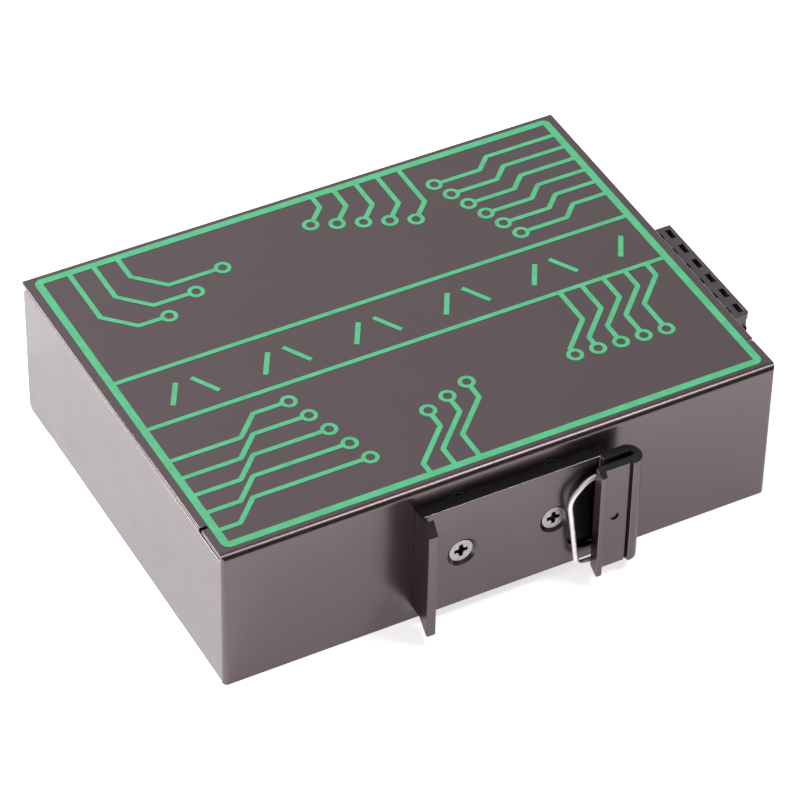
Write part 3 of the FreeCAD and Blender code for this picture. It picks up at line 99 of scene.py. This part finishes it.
class Finish:
    """A node material built up step by step around one Principled shader."""

    def __init__(self, name, colour, roughness, metal=0.0):
        self.material = bpy.data.materials.new(name)
        self.material.use_nodes = True
        self.material.diffuse_color = (*colour, 1.0)
        self.nodes = self.material.node_tree.nodes
        self.links = self.material.node_tree.links
        self.shader = self.nodes["Principled BSDF"]
        self.shader.inputs["Metallic"].default_value = metal
        self.colour = colour
        self.roughness = roughness
        self.place = self.nodes.new("ShaderNodeTexCoord").outputs["Object"]
        self.tint = None
        self.height = None

    def socket(self, **values):
        """Sets constant inputs of the shader, named with _ for each space."""
        for name, value in values.items():
            self.shader.inputs[name.replace("_", " ")].default_value = value
        return self

    def stretched(self, stretch):
        """The place of each point with its three axes stretched, which draws a texture out."""
        if stretch == EVEN:
            return self.place
        mapping = self.nodes.new("ShaderNodeMapping")
        mapping.inputs["Scale"].default_value = stretch
        self.links.new(self.place, mapping.inputs["Vector"])
        return mapping.outputs["Vector"]

    def noise(self, size, detail, stretch=EVEN):
        """Noise whose grains are about size metres across."""
        node = self.nodes.new("ShaderNodeTexNoise")
        node.inputs["Scale"].default_value = 1.0 / size
        node.inputs["Detail"].default_value = detail
        self.links.new(self.stretched(stretch), node.inputs["Vector"])
        return node.outputs["Fac"]

    def ranged(self, value, source, target=(0.0, 1.0)):
        """The value mapped from one range to another and held inside it."""
        node = self.nodes.new("ShaderNodeMapRange")
        for name, number in zip(("From Min", "From Max", "To Min", "To Max"), (*source, *target)):
            node.inputs[name].default_value = number
        self.links.new(value, node.inputs["Value"])
        return node.outputs["Result"]

    def mixed(self, share, below, above):
        """One colour turning into another by the share; each is a colour or a socket."""
        node = self.nodes.new("ShaderNodeMix")
        node.data_type = "RGBA"
        self.links.new(share, node.inputs["Factor"])
        for socket, colour in ((node.inputs[6], below), (node.inputs[7], above)):
            if isinstance(colour, bpy.types.NodeSocket):
                self.links.new(colour, socket)
            else:
                socket.default_value = (*colour, 1.0)
        return node.outputs[2]

    def mottled(self, size, depth):
        """Colour that drifts lighter and darker over patches of that size."""
        share = self.ranged(self.noise(size, DRIFT_DETAIL), DRIFT_RANGE)
        self.tint = self.mixed(share, scaled(self.colour, 1 - depth), scaled(self.colour, 1 + depth))
        return self

    def spotted(self, size, amount, colour):
        """Sparse marks of another colour, such as dust, scuffs or worn places."""
        share = self.ranged(self.noise(size, MARK_DETAIL), (1 - amount, 1 - amount + MARK_BORDER))
        self.tint = self.mixed(share, self.tint or self.colour, colour)
        return self

    def recess_shade(self, axis, start, full, colour):
        """Another colour from one place to the next along an axis: painted shade in a recess, darker with
        depth.
        """
        split = self.nodes.new("ShaderNodeSeparateXYZ")
        self.links.new(self.place, split.inputs["Vector"])
        share = self.ranged(split.outputs[axis], (start, full))
        self.tint = self.mixed(share, self.tint or self.colour, colour)
        return self

    def rubbed(self, size, spread):
        """Roughness that wanders by the spread either way."""
        limits = (self.roughness - spread, self.roughness + spread)
        value = self.ranged(self.noise(size, DRIFT_DETAIL), GLOSS_RANGE, limits)
        self.links.new(value, self.shader.inputs["Roughness"])
        return self

    def grained(self, size, depth, stretch=EVEN):
        """Fine relief of that grain and depth, in metres."""
        bump = self.nodes.new("ShaderNodeBump")
        bump.inputs["Strength"].default_value = 1.0
        bump.inputs["Distance"].default_value = depth
        self.links.new(self.noise(size, RELIEF_DETAIL, stretch), bump.inputs["Height"])
        if self.height:
            self.links.new(self.height, bump.inputs["Normal"])
        self.height = bump.outputs["Normal"]
        return self

    def done(self):
        """Joins the colour and relief to the shader and gives the material."""
        if self.tint:
            self.links.new(self.tint, self.shader.inputs["Base Color"])
        else:
            self.shader.inputs["Base Color"].default_value = (*self.colour, 1.0)
        if not self.shader.inputs["Roughness"].is_linked:
            self.shader.inputs["Roughness"].default_value = self.roughness
        if self.height:
            for name in ("Normal", "Coat Normal"):
                self.links.new(self.height, self.shader.inputs[name])
        return self.material


def powder_paint(name, colour, roughness):
    """Satin black paint on sheet metal: fine grain, faint drift of colour and gloss, dust and scuffs."""
    finish = Finish(name, colour, roughness)
    finish.socket(IOR=1.9, Specular_Tint=PAINT_SHEEN)
    finish.socket(Coat_Weight=0.5, Coat_IOR=1.55, Coat_Roughness=roughness - 0.08)
    finish.mottled(size=14 * MM, depth=0.14)
    finish.spotted(size=1.6 * MM, amount=0.22, colour=scaled(colour, 1.6))
    finish.rubbed(size=9 * MM, spread=0.03)
    finish.grained(size=0.32 * MM, depth=0.005 * MM)
    finish.grained(size=3.5 * MM, depth=0.008 * MM)
    return finish.done()


def black_anodising(name, colour, roughness):
    """Dark dyed aluminium: satin, even at all angles, with faint lines along the extrusion."""
    finish = Finish(name, colour, roughness, metal=1.0)
    finish.socket(Specular_Tint=DYE_SHEEN)
    finish.mottled(size=8 * MM, depth=0.04)
    finish.spotted(size=1.8 * MM, amount=0.2, colour=scaled(colour, 0.88))
    finish.rubbed(size=6 * MM, spread=0.03)
    finish.grained(size=0.35 * MM, depth=0.004 * MM, stretch=ALONG_Z)
    return finish.done()


def sawn_metal(name, colour, roughness):
    """Matt dyed end of an extrusion, with the faint lines of the saw across it."""
    finish = Finish(name, colour, roughness)
    finish.socket(IOR=1.33)
    finish.mottled(size=3 * MM, depth=0.2)
    finish.rubbed(size=2 * MM, spread=0.08)
    finish.grained(size=0.18 * MM, depth=0.008 * MM, stretch=ALONG_Y)
    return finish.done()


def drawn_metal(name, colour, roughness, line, stretch, dull=0.25):
    """Bare or plated metal with lines of that width drawn along one axis, and duller patches."""
    finish = Finish(name, colour, roughness, metal=1.0)
    finish.mottled(size=4 * MM, depth=0.08)
    finish.spotted(size=1.2 * MM, amount=dull, colour=scaled(colour, 0.6))
    finish.rubbed(size=2.5 * MM, spread=0.07)
    finish.grained(size=line, depth=0.003 * MM, stretch=stretch)
    return finish.done()


def cross_head(name, colour, roughness):
    """Plated screw whose faces behind the head's front, such as the cross, carry painted shade and are dull
    and dark.
    """
    finish = Finish(name, colour, roughness, metal=1.0)
    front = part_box("clip_screws")[0].y
    finish.mottled(size=1.2 * MM, depth=0.15)
    finish.spotted(size=0.5 * MM, amount=0.3, colour=scaled(colour, 0.5))
    # painted shade in the cross and the countersink: faces deeper than the head's front darken to 0.12 of
    # the colour
    finish.recess_shade("Y", start=front + 0.12 * MM, full=front + 0.45 * MM, colour=scaled(colour, 0.12))
    finish.rubbed(size=0.8 * MM, spread=0.08)
    finish.grained(size=0.2 * MM, depth=0.003 * MM)
    return finish.done()


def moulded(name, colour, roughness, grain=0.25 * MM, coat=0.0):
    """Moulded plastic with a fine eroded texture and slightly uneven gloss."""
    finish = Finish(name, colour, roughness)
    finish.socket(IOR=1.55, Specular_Tint=PAINT_SHEEN, Coat_Weight=coat, Coat_Roughness=roughness)
    finish.mottled(size=5 * MM, depth=0.12)
    finish.spotted(size=0.9 * MM, amount=0.22, colour=scaled(colour, 1.7))
    finish.rubbed(size=3 * MM, spread=0.06)
    finish.grained(size=grain, depth=0.008 * MM)
    return finish.done()


def printed_ink(name, colour, roughness):
    """Green screen ink: solid, a touch uneven in cover, with a faint mesh texture."""
    finish = Finish(name, colour, roughness)
    finish.socket(IOR=1.45)
    finish.mottled(size=2.2 * MM, depth=0.10)
    finish.spotted(size=0.5 * MM, amount=0.25, colour=(0.10, 0.45, 0.23))
    finish.rubbed(size=2 * MM, spread=0.06)
    finish.grained(size=0.22 * MM, depth=0.004 * MM)
    return finish.done()


def solder_mask(name, colour, roughness):
    """Green circuit board with paler copper runs under the mask."""
    finish = Finish(name, colour, roughness)
    runs = finish.nodes.new("ShaderNodeTexBrick")
    runs.inputs["Scale"].default_value = 260.0
    runs.inputs["Mortar Size"].default_value = 0.035
    runs.inputs["Color1"].default_value = (0.0, 0.0, 0.0, 1.0)
    runs.inputs["Color2"].default_value = (0.0, 0.0, 0.0, 1.0)
    runs.inputs["Mortar"].default_value = (1.0, 1.0, 1.0, 1.0)
    finish.links.new(finish.place, runs.inputs["Vector"])
    finish.mottled(size=8 * MM, depth=0.12)
    finish.tint = finish.mixed(runs.outputs["Fac"], finish.tint, (0.03, 0.19, 0.075))
    finish.rubbed(size=3 * MM, spread=0.05)
    finish.grained(size=0.5 * MM, depth=0.006 * MM)
    return finish.done()


def clear_lens(name, colour, roughness):
    """Milky green plastic of the indicator lamps."""
    finish = Finish(name, colour, roughness)
    finish.socket(Transmission_Weight=0.45, IOR=1.49, Subsurface_Weight=0.15)
    finish.mottled(size=1.5 * MM, depth=0.08)
    finish.rubbed(size=1 * MM, spread=0.05)
    finish.grained(size=0.3 * MM, depth=0.003 * MM)
    return finish.done()


# the finish of each material slot of the record
FINISHES = {
    "case_paint": powder_paint("satin_paint", (0.0065, 0.0052, 0.0054), 0.30),
    "clip_metal": black_anodising("anodised_black", (0.142, 0.120, 0.127), 0.31),
    "screw_steel": drawn_metal("nickel_plate", (0.60, 0.57, 0.59), 0.40, 0.12 * MM, EVEN),
    "spring_steel": drawn_metal("bright_wire", (0.95, 0.91, 0.88), 0.52, 0.10 * MM, ALONG_Z, dull=0.12),
    "nut_steel": drawn_metal("zinc_plate", (0.62, 0.62, 0.60), 0.38, 0.15 * MM, EVEN),
    "board": solder_mask("circuit_board", (0.012, 0.095, 0.035), 0.30),
    "shield_steel": drawn_metal("tin_plate", (0.70, 0.70, 0.70), 0.30, 0.14 * MM, ALONG_Y),
    "port_plastic": moulded("port_moulding", (0.020, 0.020, 0.021), 0.46),
    "contact_brass": drawn_metal("gold_flash", (0.86, 0.62, 0.26), 0.26, 0.10 * MM, ALONG_Y, dull=0.2),
    "lamp_lens": clear_lens("lamp_plastic", (0.35, 0.62, 0.30), 0.22),
    "chip_plastic": moulded("chip_epoxy", (0.018, 0.018, 0.019), 0.55, 0.16 * MM),
    "sink_metal": drawn_metal("black_anodised_sink", (0.10, 0.10, 0.105), 0.42, 0.18 * MM, ALONG_X),
    "can_metal": drawn_metal("aluminium_can", (0.74, 0.74, 0.75), 0.32, 0.15 * MM, ALONG_Z),
    "plug_plastic": moulded("plug_moulding", (0.030, 0.026, 0.027), 0.42, coat=0.7),
    "ink": printed_ink("green_ink", (0.076, 0.435, 0.20), 0.42),
}
# paler finishes of softened edges for these slots: painted highlights along the rounded edges
HIGHLIT_EDGES = {
    "case_paint": powder_paint("edge_highlight_paint", (0.020, 0.016, 0.017), 0.26),
    "clip_metal": black_anodising("edge_highlight_anodising", (0.19, 0.168, 0.174), 0.29),
}
# screw finish with painted shade in its cross and countersink
DARK_SCREW = cross_head("dark_nickel", (0.43, 0.41, 0.42), 0.36)
SAWN_END = sawn_metal("sawn_end", (0.008, 0.007, 0.007), 0.50)


# ---------------------------------------------------------------- pieces

WELD = 1e-6
FLAT_ANGLE = math.radians(1.5)
CREASE_ANGLE = math.radians(32)
BEVEL_SEGMENTS = 2
# a face counts as a cut end of the extrusion when this share of its direction is upright
END_TILT = 0.9
SPARE_HOLE = 3.8 * MM
SPARE_HEIGHT = 26.3 * MM
SCREW_HEAD = 4.9 * MM
RIM_WIRE = 0.16 * MM
RIM_STEPS = 40
RIM_SIDES = 6
# node, its slot, the width of its rounded edges and the shortest edge that is rounded
SOFTENED = [
    ("cover_shell", "case_paint", 0.14 * MM, 1.2 * MM),
    ("base_shell", "case_paint", 0.14 * MM, 1.2 * MM),
    ("rail_clip", "clip_metal", 0.12 * MM, 1.0 * MM),
    ("power_plug", "plug_plastic", 0.10 * MM, 0.8 * MM),
    ("clip_screws", "screw_steel", 0.05 * MM, 0.25 * MM),
]


def clean_copy(node, shortest):
    """A copy of a CAD node's mesh, welded, each flat face in one piece and curved faces smooth.

    Its sharp edges that are long enough to be rounded carry a bevel weight.
    """
    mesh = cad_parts[node].data.copy()
    work = bmesh.new()
    work.from_mesh(mesh)
    bmesh.ops.remove_doubles(work, verts=work.verts, dist=WELD)
    bmesh.ops.dissolve_limit(work, angle_limit=FLAT_ANGLE, verts=work.verts, edges=work.edges)
    weights = work.edges.layers.float.new("bevel_weight_edge")
    for face in work.faces:
        face.smooth = True
        face.material_index = 0
    for edge in work.edges:
        folded = len(edge.link_faces) == 2 and edge.calc_face_angle(0.0) > CREASE_ANGLE
        edge.smooth = not folded
        edge[weights] = 1.0 if folded and edge.calc_length() > shortest else 0.0
    work.to_mesh(mesh)
    work.free()
    return mesh


def softened(node, slot, width, shortest):
    """Stands for a CAD node with its longer sharp edges rounded to that width, in metres."""
    mesh = clean_copy(node, shortest)
    mesh.materials.clear()
    mesh.materials.append(DARK_SCREW if node == "clip_screws" else FINISHES[slot])
    piece = placed(node + "_finished", mesh)
    bevel = piece.modifiers.new("rounded_edges", "BEVEL")
    bevel.width = width
    bevel.segments = BEVEL_SEGMENTS
    bevel.limit_method = "WEIGHT"
    bevel.use_clamp_overlap = False
    # the rounded edges of these slots take the paler finish, a painted highlight along each edge
    if slot in HIGHLIT_EDGES:
        mesh.materials.append(HIGHLIT_EDGES[slot])
        bevel.material = 1
    flatter = piece.modifiers.new("flat_faces", "WEIGHTED_NORMAL")
    flatter.keep_sharp = True
    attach(piece, "root")
    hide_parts(node)
    return piece


def matt_ends(mesh):
    """Gives the cut ends of the extruded clip their own matt finish."""
    mesh.materials.append(SAWN_END)
    last = len(mesh.materials) - 1
    for face in mesh.polygons:
        if abs(face.normal.z) > END_TILT:
            face.material_index = last


def rim_highlight_rings():
    """Bright metal rings in the mouths of the two spare holes in the rail side, partly behind the clip:
    painted highlights on the hole rims.
    """
    low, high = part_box("clip_screws")
    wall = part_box("cover_shell")[0].y
    mesh = bpy.data.meshes.new("rim_highlight_rings")
    work = bmesh.new()
    for x in (low.x + SCREW_HEAD / 2, high.x - SCREW_HEAD / 2):
        rings = []
        for step in range(RIM_STEPS):
            turn = 2 * math.pi * step / RIM_STEPS
            out = Vector((math.cos(turn), 0.0, math.sin(turn)))
            middle = Vector((x, wall + RIM_WIRE / 2, SPARE_HEIGHT)) + out * (SPARE_HOLE - RIM_WIRE) / 2
            ring = []
            for side in range(RIM_SIDES):
                roll = 2 * math.pi * side / RIM_SIDES
                spot = middle + (out * math.cos(roll) + Vector((0, math.sin(roll), 0))) * RIM_WIRE / 2
                ring.append(work.verts.new(spot))
            rings.append(ring)
        for step in range(RIM_STEPS):
            here, there = rings[step], rings[(step + 1) % RIM_STEPS]
            for side in range(RIM_SIDES):
                over = (side + 1) % RIM_SIDES
                work.faces.new((here[side], here[over], there[over], there[side])).smooth = True
    work.to_mesh(mesh)
    work.free()
    # bright plated metal on the painted rims gives the painted highlight
    mesh.materials.append(FINISHES["nut_steel"])
    piece = placed("rim_highlight_rings", mesh)
    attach(piece, "root")


def dress(thing):
    """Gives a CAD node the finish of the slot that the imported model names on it."""
    slot_name = thing.data.materials[0].name.split(".")[0]
    for place in thing.material_slots:
        place.link = "OBJECT"
        place.material = FINISHES[slot_name]


# ---------------------------------------------------------------- studio

FLOOR_RADIUS = 1.4
FLOOR_SIDES = 96
# what the floor gives off to reflections and to the camera, where 1 is white
FLOOR_GLOW = 0.63
FLOOR_LIGHT = 0.72
SKY_TOP = 1.4
# brightness of the tent by height of the direction, from the horizon to straight up, and its tint
SKY = [(0.02, 0.05), (0.18, 0.10), (0.42, 0.62), (0.62, 1.04), (0.80, 1.25), (0.95, SKY_TOP)]
SKY_TINT = (1.0, 0.975, 0.98)
# the tent is whole towards this side and thins out away from it, down to the share that is left over;
# it does so between two values of the direction's dot product with the side
CLOSED_SIDE = (-0.6, 0.8, 0.0)
OPEN_SHARE = 0.12
OPEN_EDGE = (-0.30, 0.45)
# the long lens: the photograph's viewing angle, solved from the corners of the case
SENSOR_WIDTH = 36.0
LENS = 190.856
VIEW_PLACE = (-0.29400, -0.53760, 0.55404)
VIEW_RIGHT = Vector((0.88321, -0.46870, 0.01609))
VIEW_UP = Vector((0.29975, 0.59057, 0.74925))
VIEW_REACH = (0.01, 50.0)


def make_floor(low):
    """A round pale floor under the part, white to the camera and pale in reflections, with a shadow."""
    mesh = bpy.data.meshes.new("studio_floor")
    work = bmesh.new()
    bmesh.ops.create_circle(work, cap_ends=True, radius=FLOOR_RADIUS, segments=FLOOR_SIDES)
    bmesh.ops.translate(work, verts=work.verts, vec=(0, 0, low))
    work.to_mesh(mesh)
    work.free()
    floor = placed("studio_floor", mesh)
    finish = Finish("studio_paper", (0.92, 0.915, 0.91), 0.8)
    finish.socket(Emission_Color=(1.0, 0.98, 0.98, 1.0))
    path = finish.nodes.new("ShaderNodeLightPath")
    glow = finish.ranged(path.outputs["Is Camera Ray"], (0.0, 1.0), (0.0, FLOOR_LIGHT))
    for ray in ("Is Glossy Ray", "Is Transmission Ray"):
        share = finish.ranged(path.outputs[ray], (0.0, 1.0), (0.0, FLOOR_GLOW))
        either = finish.nodes.new("ShaderNodeMath")
        either.operation = "MAXIMUM"
        finish.links.new(glow, either.inputs[0])
        finish.links.new(share, either.inputs[1])
        glow = either.outputs["Value"]
    finish.links.new(glow, finish.shader.inputs["Emission Strength"])
    finish.mottled(size=60 * MM, depth=0.01)
    finish.grained(size=0.8 * MM, depth=0.01 * MM)
    floor.data.materials.append(finish.done())


def make_world():
    """A pale tent, brightest overhead, over a dim horizon; the camera sees plain white behind the floor."""
    world = bpy.data.worlds.new("studio_tent")
    bpy.context.scene.world = world
    world.use_nodes = True
    nodes, links = world.node_tree.nodes, world.node_tree.links
    place = nodes.new("ShaderNodeTexCoord").outputs["Generated"]
    split = nodes.new("ShaderNodeSeparateXYZ")
    links.new(place, split.inputs["Vector"])
    ramp = nodes.new("ShaderNodeValToRGB")
    links.new(split.outputs["Z"], ramp.inputs["Fac"])
    stops = ramp.color_ramp.elements
    while len(stops) < len(SKY):
        stops.new(0.5)
    for stop, (height, level) in zip(stops, SKY):
        stop.position = height
        stop.color = (*(level / SKY_TOP * tint for tint in SKY_TINT), 1)
    facing = nodes.new("ShaderNodeVectorMath")
    facing.operation = "DOT_PRODUCT"
    facing.inputs[1].default_value = CLOSED_SIDE
    links.new(place, facing.inputs[0])
    opening = nodes.new("ShaderNodeMapRange")
    opening.inputs["From Min"].default_value, opening.inputs["From Max"].default_value = OPEN_EDGE
    opening.inputs["To Min"].default_value = OPEN_SHARE * SKY_TOP
    opening.inputs["To Max"].default_value = SKY_TOP
    links.new(facing.outputs["Value"], opening.inputs["Value"])
    tent, white = nodes["Background"], nodes.new("ShaderNodeBackground")
    links.new(ramp.outputs["Color"], tent.inputs["Color"])
    links.new(opening.outputs["Result"], tent.inputs["Strength"])
    white.inputs["Color"].default_value = (1, 1, 1, 1)
    path = nodes.new("ShaderNodeLightPath")
    mix = nodes.new("ShaderNodeMixShader")
    links.new(path.outputs["Is Camera Ray"], mix.inputs["Fac"])
    links.new(tent.outputs["Background"], mix.inputs[1])
    links.new(white.outputs["Background"], mix.inputs[2])
    links.new(mix.outputs["Shader"], nodes["World Output"].inputs["Surface"])


def lamp(name, place, target, width, power):
    """A square soft lamp at a place that faces the target, in metres and watts."""
    light = bpy.data.lights.new(name, "AREA")
    light.shape = "SQUARE"
    light.size = width
    light.energy = power
    thing = placed(name, light)
    thing.location = place
    thing.rotation_mode = "QUATERNION"
    thing.rotation_quaternion = (Vector(target) - Vector(place)).to_track_quat("-Z", "Y")


def make_camera():
    """The long lens that looks down on the rail side's corner."""
    data = bpy.data.cameras.new("view")
    data.sensor_width = SENSOR_WIDTH
    data.lens = LENS
    data.clip_start, data.clip_end = VIEW_REACH
    camera = placed("view", data)
    axes = (VIEW_RIGHT, VIEW_UP, VIEW_RIGHT.cross(VIEW_UP), VIEW_PLACE)
    camera.matrix_world = Matrix([*zip(*axes), (0, 0, 0, 1)])
    bpy.context.scene.camera = camera


# ---------------------------------------------------------------- the scene

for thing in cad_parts.values():
    dress(thing)
pieces = {}
for node, slot, width, shortest in SOFTENED:
    pieces[node] = softened(node, slot, width, shortest)
matt_ends(pieces["rail_clip"].data)
# bright rings that paint the highlights on the spare holes' rims
rim_highlight_rings()

make_floor(CAD_BOX[0].z)
make_world()
lamp("key_left", (-0.50, 0.75, 0.75), (-0.15, 0.05, 0.0), width=0.50, power=12.0)
lamp("strip_above", (0.40, -0.40, 0.95), (0.0, 0.0, 0.0), width=0.22, power=3.2)
make_camera()
bpy.context.scene.view_settings.view_transform = "Standard"
